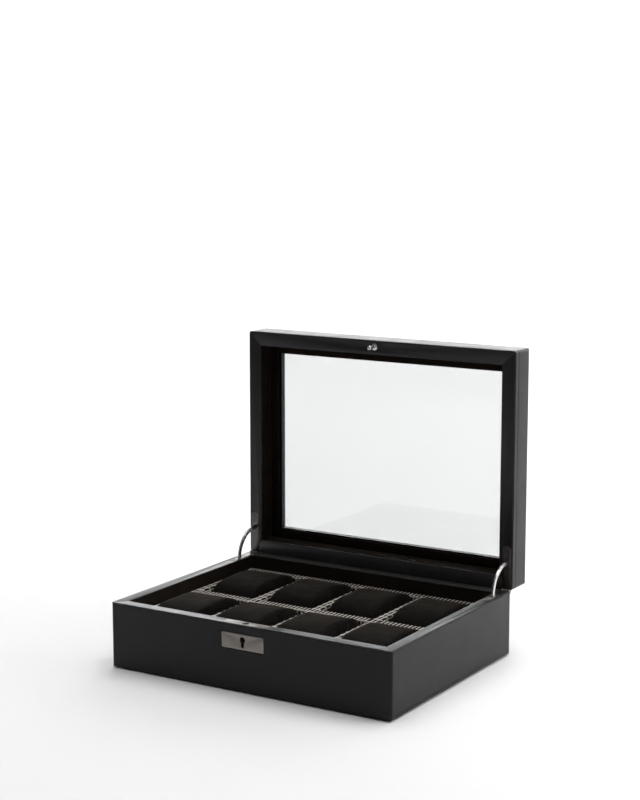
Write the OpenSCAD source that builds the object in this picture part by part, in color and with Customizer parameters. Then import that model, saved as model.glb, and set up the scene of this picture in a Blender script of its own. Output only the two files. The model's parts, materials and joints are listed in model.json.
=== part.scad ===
/* [Box] */
// Width of the box, left to right
box_w = 286; // [270:1:320]
// Depth of the box, front to back
box_d = 220; // [200:1:260]
// Height of the base, from the surface it stands on to its rim
base_h = 60; // [55:1:80]
// Height of the lid, from its rim to its top
lid_h = 29.6; // [27:0.2:45]
// Gap between the two rims when the lid is shut
rim_gap = 0.4; // [0.2:0.1:1]
// Angle at which the lid stands open
open_deg = 90; // [0:1:90]

/* [Walls] */
// Width of the base's rim
base_rim_w = 11; // [9:0.5:16]
// Width of the lid's rim
lid_rim_w = 13.5; // [11:0.5:18]
// Width of the lid's frame around the window
frame_w = 23; // [20:0.5:40]
// Thickness of the leather
skin_t = 1; // [0.6:0.1:1.2]
// Thickness of the mitred leather strips on both rims
strip_t = 0.8; // [0.5:0.1:1]
// Step from the outer face in to the rim strips
strip_step = 0.6; // [0.3:0.1:1]
// Radius of the outer corners and edges
edge_r = 3; // [2.5:0.1:3.3]
// Thickness of the bottom board
board_t = 6; // [4:0.5:10]
// Thickness of the felt under the box
felt_t = 1.5; // [1:0.1:3]
// Width of leather turned in under the box
turn_in = 13; // [8:1:20]
// Height of the seam above the bottom edge
seam_z = 4.8; // [4:0.2:10]
// Distance from the lid's rim to the groove round the lid
lid_groove_z = 6.4; // [4:0.2:12]
// Width and depth of the grooves
groove = 0.7; // [0.3:0.1:0.8]

/* [Tray] */
// Depth of the tray's top below the base's rim
tray_drop = 12.7; // [8:0.1:20]
// Thickness of the dividers
divider_t = 9.5; // [6:0.5:12]
// Width of the tray's front and rear rails
rail_y = 8; // [5:0.5:12]
// Width of the tray's side rails
rail_x = 8.55; // [6:0.05:12]
// Thickness of the tray's floor
tray_floor_t = 2; // [1.5:0.5:4]
// Clearance round the tray
tray_clear = 0.2; // [0.1:0.1:0.5]

/* [Pillows] */
// Gap between a pillow and the rail or divider beside it
pillow_side_gap = 3.25; // [1:0.05:6]
// Gap between a pillow and the rails in front of it and behind it
pillow_gap = 1.6; // [1:0.1:4]
// Height of a pillow's top above the tray
pillow_rise = 6; // [0:0.5:7]
// Roundness of a pillow's profile, from 2 for an ellipse upwards
pillow_power = 5; // [2:0.1:7]

/* [Window] */
// Thickness of the top frame's boards
frame_t = 5; // [4:0.5:6]
// Thickness of the glass
glass_t = 3; // [2:0.5:4]
// Thickness of the frame that holds the glass
retainer_t = 2; // [1.5:0.5:3]

/* [Hinges] */
// Distance from the rear faces back to the hinge pins
pin_back = 0.4; // [0.2:0.1:1]
// Depth of the hinge pins below the base's rim
pin_sunk = 1; // [0.6:0.1:1.2]
// Diameter of the hinge pins
pin_d = 2.2; // [2:0.1:2.4]
// Outer diameter of the knuckles
knuckle_d = 4.4; // [4:0.1:4.4]
// Width of the hinge leaves
leaf_w = 8.4; // [7:0.1:8.4]
// Thickness of the hinge leaves
leaf_t = 1.6; // [1.2:0.1:2]
// Length of the hinge leaves from the pin
leaf_l = 42; // [38:0.5:48]
// Distance from the pin to the screw
screw_at = 37.6; // [34:0.2:42]
// Radius of the curved stays about the pin
stay_r = 26; // [22:0.5:27]
// Width of a stay across its curve
stay_w = 3.4; // [2.5:0.1:3.7]
// Thickness of a stay
stay_t = 1.6; // [1:0.1:2]

/* [Lock] */
// Place of the lock, left or right of the middle
lock_x = -2.5; // [-20:0.5:20]
// Width of the lock's plates
plate_w = 43; // [40:1:60]
// Height of the front plate
plate_h = 13.8; // [12:0.2:16]
// Distance from the base's rim down to the middle of the front plate
plate_drop = 15; // [14:0.5:17]
// Diameter of the striker's head
stud_d = 4.2; // [3.6:0.1:4.4]

/* [Hidden] */
$fn = 48;

// how far a cut runs past a face
over = 1;
half_w = box_w / 2;
half_d = box_d / 2;

// heights in the base, from the bottom up
cover_z = 0.5;
board_z = felt_t;
tray_z = board_z + board_t;
tray_top = base_h - tray_drop;
compartment_z = tray_z + tray_floor_t;
base_strip_z = base_h - strip_t;

// insets from the outer face: wood, lining and the inside of the base
liner_t = 1;
base_liner_n = base_rim_w - liner_t;
in_w = half_w - base_rim_w - tray_clear;
in_d = half_d - base_rim_w - tray_clear;
rail_x_in = in_w - rail_x;
rail_y_in = in_d - rail_y;
// spacing of the compartments, left to right
pitch = (rail_x_in + divider_t / 2) / 2;
comp_d = rail_y_in - divider_t / 2;
// the dividers cross with half laps at this height
lap_z = (compartment_z + tray_top) / 2;

// heights in the shut lid
lid_z = base_h + rim_gap;
lid_top = lid_z + lid_h;
lid_strip_z = lid_z + strip_t;
frame_z = lid_top - skin_t - frame_t;
glass_z = frame_z - glass_t;
retainer_z = glass_z - retainer_t;
lid_wall_n = lid_rim_w - liner_t;

// pillows, with as many points round the profile
pillow_w = pitch - divider_t - 2 * pillow_side_gap;
pillow_lift = 0.3;
pillow_z0 = compartment_z + pillow_lift;
pillow_a = comp_d / 2 - pillow_gap;
pillow_b = (tray_top + pillow_rise - pillow_z0) / 2;
pillow_points = 44;

// hinge: the pins' axis runs along X in the corner of the base's rim
pin_y = half_d + pin_back;
pin_z = base_h - pin_sunk;
pin_to_lid = pin_sunk + rim_gap;
leaf_shift = 0.2;
leaf_x = half_w - base_rim_w / 2 - leaf_shift;
leaf_fit = 0.25;
pin_fit = 0.05;
knuckle_gap = 0.2;
mid_knuckle = 2.8;
knuckle_room = knuckle_d + 2 * knuckle_gap;
side_knuckle = (leaf_w - mid_knuckle) / 2 - knuckle_gap;
screw_head_d = 4;
screw_d = 2;
screw_l = 9;
screw_slot_w = 0.7;
screw_slot_deg = 40;
// the stays end in round heads that stop under the leaves when the lid is open
head_d = 4;
head_l = 3.4;
head_gap = 0.1;
base_head_deg = asin((leaf_t - pin_sunk + head_d / 2 + head_gap) / stay_r);
lid_head_deg = asin((leaf_t + pin_to_lid + head_d / 2 + head_gap) / stay_r);
stay_fit = 0.4;
// as the lid shuts, the stays turn this far into their pockets, which run a little further
stay_turn = 49.5;
pocket_more = 5.5;
pocket_low_deg = base_head_deg + stay_turn + pocket_more;
pocket_high_deg = 90 + lid_head_deg - stay_turn + pocket_more;
pocket_mouth_deg = 4;

// lock, from the rim down: the top plate, and the case with the keyhole's plate before it
plate_z = base_h - plate_drop;
plate_t = 1.2;
plate_sunk = 0.2;
plate_y = -(half_d - plate_sunk);
plate_gap = 0.7;
top_plate_t = 1.8;
top_plate_d = 7.4;
case_w = 38;
case_d = 7.2;
case_h = 25.6;
case_t = 0.8;
lock_y = -(half_d - 6.2);
case_y = lock_y - case_d / 2;
case_z = base_h - top_plate_t - case_h;
key_r = 2.7;
key_slot_w = 3;
key_up = 1.9;
key_down = 5;
key_fit = 0.3;
keyway_fit = 0.5;
keyway_d = 4;

// the barrel turns in the case, and its hook passes over the striker's head
barrel_drop = 15.5;
barrel_z = base_h - barrel_drop;
barrel_gap = 0.1;
barrel_y0 = case_y + case_t + barrel_gap;
barrel_y1 = case_y + case_d - case_t - barrel_gap;
barrel_r = 4.9;
journal_r = 4.4;
trunnion_r = 2;
hook_r = 8.3;
hook_t = 2;
hook_deg = 22;
arm_deg = 20;
hook_end = hook_deg + arm_deg + 13;
hook_turn = 60;
neck_d = 2.4;
neck_gap = 0.2;

// striker: a head with a bevelled end on a neck, and a flange in the lid's rim
stud_t = 2;
stud_bevel = 0.6;
stud_gap = 0.6;
stud_z = barrel_z + hook_r - stud_gap - stud_t;
stud_hole_d = stud_d + 1.2;
flange_d = stud_d + 2.2;
flange_t = 2;

// ---- helpers ----

// block between two corners
module block(low, high) {
    translate(low) cube(high - low);
}

// box with rounded upright edges and one rounded level edge, at the bottom or at the top
module soft_box(z0, z1, r, at_top) {
    intersection() {
        translate([0, 0, z0]) linear_extrude(z1 - z0) round_rect(box_w, box_d, r, [1, 1, 1, 1]);
        rotate([90, 0, 0])
            linear_extrude(box_d + 2 * over, center = true) level_profile(box_w, z0, z1, r, at_top);
        rotate([90, 0, 90])
            linear_extrude(box_w + 2 * over, center = true) level_profile(box_d, z0, z1, r, at_top);
    }
}

module level_profile(w, z0, z1, r, at_top) {
    translate([0, (z0 + z1) / 2])
        round_rect(w, z1 - z0, r, at_top ? [0, 0, 1, 1] : [1, 1, 0, 0]);
}

// rectangle about the middle; which = [low left, low right, high right, high left] corners are round
module round_rect(w, h, r, which) {
    difference() {
        square([w, h], center = true);
        for (k = [0:3])
            if (which[k] == 1)
                translate([corner_sign_x(k) * w / 2, corner_sign_y(k) * h / 2])
                    difference() {
                        square([2 * r, 2 * r], center = true);
                        translate([-corner_sign_x(k) * r, -corner_sign_y(k) * r]) circle(r);
                        corner_rest(k, r);
                    }
    }
}

// the parts of a corner square that lie outside the quarter to be cut
module corner_rest(k, r) {
    translate([-corner_sign_x(k) * (r + over), 0]) square([2 * over, 3 * r], center = true);
    translate([0, -corner_sign_y(k) * (r + over)]) square([3 * r, 2 * over], center = true);
}
function corner_sign_x(k) = (k == 0 || k == 3) ? -1 : 1;
function corner_sign_y(k) = k < 2 ? -1 : 1;

// upright ring between two insets from the outer faces
module ring(n0, n1, z0, z1) {
    difference() {
        block([n0 - half_w, n0 - half_d, z0], [half_w - n0, half_d - n0, z1]);
        block([n1 - half_w, n1 - half_d, z0 - over], [half_w - n1, half_d - n1, z1 + over]);
    }
}

// one mitred side of a ring: side 0 front, 1 right, 2 rear, 3 left
module mitred_side(side, n0, n1, z0, z1) {
    across = side % 2 == 0 ? half_w : half_d;
    out = side % 2 == 0 ? half_d : half_w;
    rotate([0, 0, 90 * side])
        translate([0, 0, z0])
            linear_extrude(z1 - z0)
                polygon([
                    [n0 - across, n0 - out], [across - n0, n0 - out],
                    [across - n1, n1 - out], [n1 - across, n1 - out]
                ]);
}

// moves what is drawn for the shut lid to the open lid
module opened() {
    translate([0, pin_y, pin_z]) rotate([-open_deg, 0, 0]) translate([0, -pin_y, -pin_z]) children();
}

// turns the XY plane to the stays' plane: X points forward from the pin and Y points up
module about_pin(x) {
    translate([x, pin_y, pin_z]) rotate([90, 0, -90]) children();
}

// part of a ring about the pin, from one angle above the rim plane to another
module sector(r, w, t, from, to) {
    rotate([0, 0, from]) rotate_extrude(angle = to - from) translate([r - w / 2, -t / 2]) square([w, t]);
}

// mirrors what is drawn for the base's rim to the shut lid's rim
module to_lid() {
    translate([0, 0, base_h + lid_z]) mirror([0, 0, 1]) children();
}

// ---- hinge parts, drawn for the base's rim ----

module leaf_outline(grow) {
    translate([-leaf_w / 2 - grow, -leaf_l + leaf_w / 2]) square([leaf_w + 2 * grow, leaf_l - leaf_w / 2]);
    translate([0, -leaf_l + leaf_w / 2]) circle(leaf_w / 2 + grow);
}

// the recess for a leaf, right through the rim strip and out at the back
module leaf_recess(x) {
    translate([x, pin_y, base_h - leaf_t]) linear_extrude(leaf_t + over) leaf_outline(leaf_fit);
}

module both_leaf_recesses() {
    for (s = [-1, 1]) {
        leaf_recess(s * leaf_x);
        knuckle_recess(s * leaf_x);
    }
}

module both_lid_leaf_recesses() {
    for (s = [-1, 1]) {
        to_lid() leaf_recess(s * leaf_x);
        knuckle_recess(s * leaf_x);
    }
}

// room for the knuckles, in the base and in the shut lid alike
module knuckle_recess(x) {
    translate([x, pin_y, pin_z])
        rotate([0, 90, 0]) cylinder(h = leaf_w + 2 * leaf_fit, d = knuckle_d + 2 * leaf_fit, center = true);
}

// pocket for a stay and its head, from one angle above the rim plane to another
module stay_pocket(x, from, to) {
    about_pin(x) sector(stay_r, head_d + 2 * stay_fit, head_l + 2 * stay_fit, from, to);
}

module screw_bore(x) {
    translate([x, pin_y - screw_at, base_h - screw_l]) cylinder(h = screw_l, d = screw_d);
}

// the flat part of a leaf, with the stay's slot and the screw's countersunk hole
module leaf_plate(x) {
    difference() {
        translate([x, pin_y, base_h - leaf_t]) linear_extrude(leaf_t) leaf_outline(0);
        translate([x, pin_y - stay_r, base_h - leaf_t / 2])
            cube([stay_t + 2 * stay_fit, stay_w + 2 * stay_fit, leaf_t + 2 * over], center = true);
        translate([x, pin_y - screw_at, base_h - leaf_t]) {
            translate([0, 0, -over]) cylinder(h = 2 * leaf_t + over, d = screw_d);
            cylinder(h = leaf_t, d1 = screw_d, d2 = screw_head_d);
        }
    }
}

// the base's leaf has the two outer knuckles, and the lid's leaf has the middle one
module leaf(x, lid) {
    knuckle_l = lid ? mid_knuckle : side_knuckle;
    room_l = (lid ? side_knuckle : mid_knuckle) + 2 * knuckle_gap;
    difference() {
        union() {
            if (lid) to_lid() leaf_plate(x);
            if (!lid) leaf_plate(x);
            for (s = lid ? [0] : [-1, 1])
                translate([x + s * (leaf_w - side_knuckle) / 2, pin_y, pin_z])
                    rotate([0, 90, 0]) cylinder(h = knuckle_l, d = knuckle_d, center = true);
        }
        // room for the other leaf's knuckles
        for (s = lid ? [-1, 1] : [0])
            translate([x + s * (leaf_w + mid_knuckle) / 4, pin_y, pin_z])
                cube([room_l, knuckle_room, knuckle_room], center = true);
        // bore for the pin
        translate([x, pin_y, pin_z])
            rotate([0, 90, 0])
                cylinder(h = 2 * leaf_w, d = pin_d + (lid ? 2 * pin_fit : 0), center = true);
    }
}

module hinge_screw(x) {
    translate([x, pin_y - screw_at, 0])
        difference() {
            union() {
                translate([0, 0, base_h - leaf_t]) cylinder(h = leaf_t, d1 = screw_d, d2 = screw_head_d);
                translate([0, 0, base_h - screw_l]) cylinder(h = screw_l - leaf_t, d = screw_d);
            }
            translate([0, 0, base_h])
                rotate([0, 0, screw_slot_deg])
                    cube([2 * screw_head_d, screw_slot_w, 1.4 * screw_slot_w], center = true);
        }
}

module stay(x) {
    color("silver")
        about_pin(x) {
            sector(stay_r, stay_w, stay_t, -base_head_deg, 90 + lid_head_deg);
            for (end = [-base_head_deg, 90 + lid_head_deg])
                rotate([0, 0, end])
                    translate([stay_r, 0, 0]) cylinder(h = head_l, d = head_d, center = true);
        }
}

// ---- lock helpers ----

// keyhole outline about the middle of the lock, in the XZ plane and run through in Y
module keyhole(y0, y1, grow) {
    translate([lock_x, y1, plate_z])
        rotate([90, 0, 0])
            linear_extrude(y1 - y0) {
                translate([0, key_up]) circle(key_r + grow);
                translate([-key_slot_w / 2 - grow, -key_down - grow])
                    square([key_slot_w + 2 * grow, key_up + key_down + grow]);
            }
}

// ring part about the barrel, with angles from straight up towards the right
module barrel_sector(r0, r1, y0, y1, from, to) {
    translate([lock_x, y1, barrel_z])
        rotate([90, 0, 0])
            rotate([0, 0, 90 - to])
                rotate_extrude(angle = to - from) translate([r0, 0]) square([r1 - r0, y1 - y0]);
}

// ---- base ----

module base_felt() {
    color("black")
        block([turn_in - half_w, turn_in - half_d, 0], [half_w - turn_in, half_d - turn_in, felt_t]);
}

module base_board() {
    color("tan")
        block(
            [base_liner_n - half_w, base_liner_n - half_d, board_z],
            [half_w - base_liner_n, half_d - base_liner_n, tray_z]
        );
}

module base_front_wall() {
    color("tan")
        difference() {
            block(
                [base_liner_n - half_w, skin_t - half_d, cover_z + skin_t],
                [half_w - base_liner_n, base_liner_n - half_d, base_strip_z]
            );
            // mortise for the lock's case, from above
            block(
                [lock_x - case_w / 2, case_y, case_z],
                [lock_x + case_w / 2, base_liner_n - half_d + over, base_h]
            );
            // recess for the front plate, for the top plate and the way through for the key
            plate_block(plate_gap, plate_y + plate_t);
            top_plate_block();
            keyhole(-half_d, lock_y, key_fit);
        }
}

module base_rear_wall() {
    color("tan")
        block(
            [base_liner_n - half_w, half_d - base_liner_n, cover_z + skin_t],
            [half_w - base_liner_n, half_d - skin_t, base_strip_z]
        );
}

// side is -1 for the left wall and 1 for the right
module base_side_wall(side) {
    color("tan")
        difference() {
            translate([side * (half_w - (base_liner_n + skin_t) / 2), 0, 0])
                block(
                    [(skin_t - base_liner_n) / 2, skin_t - half_d, cover_z + skin_t],
                    [(base_liner_n - skin_t) / 2, half_d - skin_t, base_strip_z]
                );
            leaf_recess(side * leaf_x);
            knuckle_recess(side * leaf_x);
            stay_pocket(side * leaf_x, -pocket_low_deg, pocket_mouth_deg);
            screw_bore(side * leaf_x);
        }
}

module base_cover() {
    color("#1b1b1b")
        difference() {
            soft_box(cover_z, base_strip_z, edge_r, false);
            block(
                [skin_t - half_w, skin_t - half_d, cover_z + skin_t],
                [half_w - skin_t, half_d - skin_t, base_h]
            );
            block(
                [turn_in - half_w, turn_in - half_d, -over],
                [half_w - turn_in, half_d - turn_in, cover_z + 2 * skin_t]
            );
            // seam along the sides and the back
            seam_cut();
            plate_block(plate_gap, plate_y + plate_t);
            both_leaf_recesses();
        }
}

module seam_cut() {
    for (s = [-1, 1])
        translate([s * half_w, 0, seam_z]) cube([groove, box_d - 4 * edge_r, groove / 2], center = true);
    translate([0, half_d, seam_z]) cube([box_w - 4 * edge_r, groove, groove / 2], center = true);
}

module base_strip(side) {
    color("#2a2a2a")
        difference() {
            mitred_side(side, strip_step, base_rim_w, base_strip_z, base_h);
            both_leaf_recesses();
            top_plate_block();
            if (side == 2) strip_ends();
        }
}

// a rear strip stops at the leaves
module strip_ends() {
    for (s = [-1, 1])
        translate([s * (leaf_x + leaf_w), half_d, base_h])
            cube([2 * leaf_w, 4 * base_rim_w, 4 * strip_t], center = true);
}

module base_liner() {
    color("#101010") ring(base_liner_n, base_rim_w, tray_z, base_strip_z);
}

// ---- tray ----

module tray_floor() {
    color("#101010") block([-in_w, -in_d, tray_z], [in_w, in_d, compartment_z]);
}

module tray_end_rail(side) {
    color("#181818")
        translate([0, side * (in_d - rail_y / 2), 0])
            block([-in_w, -rail_y / 2, compartment_z], [in_w, rail_y / 2, tray_top]);
}

module tray_side_rail(side) {
    color("#181818")
        translate([side * (in_w + rail_x_in) / 2, 0, 0])
            block(
                [(rail_x_in - in_w) / 2, -rail_y_in, compartment_z],
                [(in_w - rail_x_in) / 2, rail_y_in, tray_top]
            );
}

// lies across the box and is cut from above for the other dividers
module divider_cross() {
    color("#181818")
        difference() {
            block([-rail_x_in, -divider_t / 2, compartment_z], [rail_x_in, divider_t / 2, tray_top]);
            for (k = [-1:1])
                block(
                    [k * pitch - divider_t / 2, -divider_t, lap_z],
                    [k * pitch + divider_t / 2, divider_t, tray_top + over]
                );
        }
}

// lies front to back and is cut from below for the cross divider
module divider(k) {
    color("#181818")
        translate([k * pitch, 0, 0])
            difference() {
                block([-divider_t / 2, -rail_y_in, compartment_z], [divider_t / 2, rail_y_in, tray_top]);
                block(
                    [-divider_t, -divider_t / 2, compartment_z - over],
                    [divider_t, divider_t / 2, lap_z]
                );
            }
}

// ---- pillows ----

function soft(v) = sign(v) * pow(abs(v), 2 / pillow_power);

module pillow(column, row) {
    color("#141414")
        translate([(column - 2.5) * pitch, row * (divider_t + comp_d) / 2, pillow_z0 + pillow_b])
            rotate([90, 0, 90])
                linear_extrude(pillow_w, center = true)
                    polygon([
                        for (k = [0:pillow_points - 1])
                            [
                                pillow_a * soft(cos(360 * k / pillow_points)),
                                pillow_b * soft(sin(360 * k / pillow_points))
                            ]
                    ]);
}

// ---- lock ----

module plate_block(gap, y1) {
    block(
        [lock_x - plate_w / 2 - gap, -half_d - over, plate_z - plate_h / 2 - gap],
        [lock_x + plate_w / 2 + gap, y1, plate_z + plate_h / 2 + gap]
    );
}

module top_plate_block() {
    block(
        [lock_x - plate_w / 2, lock_y - top_plate_d / 2, base_h - top_plate_t],
        [lock_x + plate_w / 2, lock_y + top_plate_d / 2, base_h + over]
    );
}

module lock_case() {
    color("dimgray")
        difference() {
            block(
                [lock_x - case_w / 2, case_y, case_z],
                [lock_x + case_w / 2, case_y + case_d, case_z + case_h]
            );
            block(
                [lock_x - case_w / 2 + case_t, case_y + case_t, case_z + case_t],
                [lock_x + case_w / 2 - case_t, case_y + case_d - case_t, case_z + case_h - case_t]
            );
            // bearings for the barrel, and the way in for the striker
            translate([lock_x, case_y - over, barrel_z])
                rotate([-90, 0, 0]) cylinder(h = case_t + over + barrel_gap, r = journal_r + pin_fit);
            translate([lock_x, case_y + case_d - case_t - barrel_gap, barrel_z])
                rotate([-90, 0, 0]) cylinder(h = case_t + over, r = trunnion_r + pin_fit);
            translate([lock_x, lock_y, case_z + case_h - 2 * case_t])
                cylinder(h = 3 * case_t, d = stud_hole_d);
        }
}

module lock_plate() {
    color("#6b6762")
        difference() {
            block(
                [lock_x - plate_w / 2, plate_y, plate_z - plate_h / 2],
                [lock_x + plate_w / 2, plate_y + plate_t, plate_z + plate_h / 2]
            );
            keyhole(-half_d - over, lock_y, 0);
        }
}

module lock_top_plate() {
    color("#6b6762")
        difference() {
            block(
                [lock_x - plate_w / 2, lock_y - top_plate_d / 2, base_h - top_plate_t],
                [lock_x + plate_w / 2, lock_y + top_plate_d / 2, base_h]
            );
            translate([lock_x, lock_y, base_h - 2 * top_plate_t])
                cylinder(h = 3 * top_plate_t, d = stud_hole_d);
        }
}

// drawn unlocked: turning by hook_turn brings the hook over the striker's head
module lock_barrel() {
    color("#8a7a55")
        difference() {
            union() {
                barrel_disc(case_y, barrel_y0, journal_r);
                barrel_disc(barrel_y0, barrel_y1, barrel_r);
                barrel_disc(barrel_y1, case_y + case_d, trunnion_r);
                barrel_sector(
                    hook_r, hook_r + hook_t, barrel_y0 + barrel_gap, barrel_y1 - barrel_gap,
                    hook_turn - hook_deg, hook_turn + hook_end
                );
                barrel_sector(
                    barrel_r - over, hook_r + hook_t, barrel_y0 + barrel_gap, barrel_y1 - barrel_gap,
                    hook_turn + hook_end - arm_deg, hook_turn + hook_end
                );
            }
            // gap in the hook for the striker's neck
            barrel_sector(
                hook_r - over / 2, hook_r + hook_t + over,
                lock_y - neck_d / 2 - neck_gap, lock_y + neck_d / 2 + neck_gap,
                hook_turn - hook_deg - 5, hook_turn + hook_deg
            );
            keyhole(case_y - over, case_y + keyway_d, -keyway_fit);
        }
}

module barrel_disc(y0, y1, r) {
    translate([lock_x, y1, barrel_z]) rotate([90, 0, 0]) cylinder(h = y1 - y0, r = r);
}

// ---- lid, drawn shut ----

// side is -1 for the front wall, which holds the striker, and 1 for the rear wall
module lid_end_wall(side) {
    color("tan")
        opened()
            difference() {
                translate([0, side * (half_d - (lid_wall_n + skin_t) / 2), 0])
                    block(
                        [lid_wall_n - half_w, (skin_t - lid_wall_n) / 2, lid_strip_z],
                        [half_w - lid_wall_n, (lid_wall_n - skin_t) / 2, frame_z]
                    );
                stud_flange();
            }
}

module lid_side_wall(side) {
    color("tan")
        opened()
            difference() {
                translate([side * (half_w - (lid_wall_n + skin_t) / 2), 0, 0])
                    block(
                        [(skin_t - lid_wall_n) / 2, skin_t - half_d, lid_strip_z],
                        [(lid_wall_n - skin_t) / 2, half_d - skin_t, frame_z]
                    );
                to_lid() leaf_recess(side * leaf_x);
                to_lid() screw_bore(side * leaf_x);
                knuckle_recess(side * leaf_x);
                stay_pocket(side * leaf_x, 0, pocket_high_deg);
            }
}

module lid_top_frame() {
    color("tan") opened() ring(skin_t, frame_w - skin_t, frame_z, frame_z + frame_t);
}

module lid_cover() {
    color("#1b1b1b")
        opened()
            difference() {
                soft_box(lid_strip_z, lid_top, edge_r, true);
                block(
                    [skin_t - half_w, skin_t - half_d, lid_z - over],
                    [half_w - skin_t, half_d - skin_t, frame_z]
                );
                ring(skin_t, frame_w - skin_t, frame_z - over, frame_z + frame_t);
                block(
                    [frame_w - half_w, frame_w - half_d, lid_z],
                    [half_w - frame_w, half_d - frame_w, lid_top + over]
                );
                // groove all round
                difference() {
                    block(
                        [-box_w, -box_d, lid_z + lid_groove_z],
                        [box_w, box_d, lid_z + lid_groove_z + groove]
                    );
                    translate([0, 0, lid_z])
                        linear_extrude(lid_h)
                            round_rect(
                                box_w - 2 * groove, box_d - 2 * groove, edge_r - groove, [1, 1, 1, 1]
                            );
                }
                both_lid_leaf_recesses();
            }
}

module lid_strip(side) {
    color("#2a2a2a")
        opened()
            difference() {
                mitred_side(side, strip_step, lid_rim_w, lid_z, lid_strip_z);
                both_lid_leaf_recesses();
                if (side == 2) strip_ends();
                stud_flange();
            }
}

module lid_liner() {
    color("#101010") opened() ring(lid_wall_n, lid_rim_w, lid_strip_z, retainer_z);
}

module lid_glass() {
    color("#cfe4e6", 0.25)
        opened()
            block(
                [lid_wall_n - half_w, lid_wall_n - half_d, glass_z],
                [half_w - lid_wall_n, half_d - lid_wall_n, frame_z]
            );
}

module glass_retainer() {
    color("#101010") opened() ring(lid_wall_n, frame_w - skin_t, retainer_z, glass_z);
}

module stud_flange() {
    translate([lock_x, lock_y, lid_z]) cylinder(h = flange_t, d = flange_d);
}

// the striker: flange in the lid's rim, neck and head
module lid_stud() {
    color("silver")
        opened() {
            stud_flange();
            translate([lock_x, lock_y, stud_z]) {
                cylinder(h = lid_z + over - stud_z, d = neck_d);
                translate([0, 0, stud_bevel]) cylinder(h = stud_t - stud_bevel, d = stud_d);
                cylinder(h = stud_bevel, d1 = stud_d - 2 * stud_bevel, d2 = stud_d);
            }
        }
}

// ---- what is drawn ----

base_felt();
base_board();
base_front_wall();
base_rear_wall();
base_side_wall(-1);  // base_left_wall
base_side_wall(1);  // base_right_wall
base_cover();
base_strip(0);  // base_rim_front
base_strip(1);  // base_rim_right
base_strip(2);  // base_rim_rear
base_strip(3);  // base_rim_left
base_liner();
tray_floor();
tray_end_rail(-1);  // tray_front_rail
tray_end_rail(1);  // tray_rear_rail
tray_side_rail(-1);  // tray_left_rail
tray_side_rail(1);  // tray_right_rail
divider_cross();
divider(-1);  // divider_left
divider(0);  // divider_middle
divider(1);  // divider_right
lock_case();
lock_plate();
lock_top_plate();
lock_barrel();
color("gray") leaf(-leaf_x, false);  // hinge_left_base_leaf
color("gray") leaf(leaf_x, false);  // hinge_right_base_leaf
color("silver")  // hinge_pins
        for (s = [-1, 1])
            translate([s * leaf_x, pin_y, pin_z])
                rotate([0, 90, 0]) cylinder(h = leaf_w, d = pin_d, center = true);
color("silver") for (s = [-1, 1]) hinge_screw(s * leaf_x);  // base_hinge_screws
lid_end_wall(-1);  // lid_front_wall
lid_end_wall(1);  // lid_rear_wall
lid_side_wall(-1);  // lid_left_wall
lid_side_wall(1);  // lid_right_wall
lid_top_frame();
lid_cover();
lid_strip(0);  // lid_rim_front
lid_strip(1);  // lid_rim_right
lid_strip(2);  // lid_rim_rear
lid_strip(3);  // lid_rim_left
lid_liner();
lid_glass();
glass_retainer();
lid_stud();
color("gray") opened() leaf(-leaf_x, true);  // hinge_left_lid_leaf
color("gray") opened() leaf(leaf_x, true);  // hinge_right_lid_leaf
color("silver") opened() to_lid() for (s = [-1, 1]) hinge_screw(s * leaf_x);  // lid_hinge_screws
stay(-leaf_x);  // stay_left
stay(leaf_x);  // stay_right
pillow(1, 1);  // pillow_rear_1
pillow(2, 1);  // pillow_rear_2
pillow(3, 1);  // pillow_rear_3
pillow(4, 1);  // pillow_rear_4
pillow(1, -1);  // pillow_front_1
pillow(2, -1);  // pillow_front_2
pillow(3, -1);  // pillow_front_3
pillow(4, -1);  // pillow_front_4
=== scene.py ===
"""Dresses the watch box: leather, patterned fabric, suede pillows, lock, hinges and glass."""

import json
import math

import bmesh
import bpy
import numpy as np
from bpy.props import FloatProperty, FloatVectorProperty, IntProperty, PointerProperty
from mathutils import Matrix, Vector, noise
from mathutils.bvhtree import BVHTree

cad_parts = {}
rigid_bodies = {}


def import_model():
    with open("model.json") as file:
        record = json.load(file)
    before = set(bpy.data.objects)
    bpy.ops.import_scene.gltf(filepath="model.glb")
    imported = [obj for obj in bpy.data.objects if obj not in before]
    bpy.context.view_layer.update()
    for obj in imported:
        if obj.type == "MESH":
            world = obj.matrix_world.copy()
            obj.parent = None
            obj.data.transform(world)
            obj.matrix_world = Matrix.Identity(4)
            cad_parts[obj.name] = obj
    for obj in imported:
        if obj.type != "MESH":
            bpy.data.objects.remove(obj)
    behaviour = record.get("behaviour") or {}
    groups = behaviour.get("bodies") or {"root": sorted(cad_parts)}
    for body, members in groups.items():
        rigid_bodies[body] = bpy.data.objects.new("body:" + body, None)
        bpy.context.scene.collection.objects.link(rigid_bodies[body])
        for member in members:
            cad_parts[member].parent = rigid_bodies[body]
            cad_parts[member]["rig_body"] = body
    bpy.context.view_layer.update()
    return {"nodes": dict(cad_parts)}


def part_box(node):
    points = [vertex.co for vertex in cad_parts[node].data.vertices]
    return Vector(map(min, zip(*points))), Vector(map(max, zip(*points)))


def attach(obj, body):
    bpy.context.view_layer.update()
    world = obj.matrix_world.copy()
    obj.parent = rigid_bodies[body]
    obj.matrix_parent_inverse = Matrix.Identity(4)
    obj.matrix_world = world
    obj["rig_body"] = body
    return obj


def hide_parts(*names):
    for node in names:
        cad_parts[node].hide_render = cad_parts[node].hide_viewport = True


bl_info = {
    "name": "Watch box",
    "version": (1, 0, 0),
    "blender": (4, 5, 0),
    "location": "View3D > Sidebar > Watch box",
    "description": "Builds the finish of a leather watch box around its frame",
    "category": "Object",
}

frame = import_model()
MM = 0.001

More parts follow.
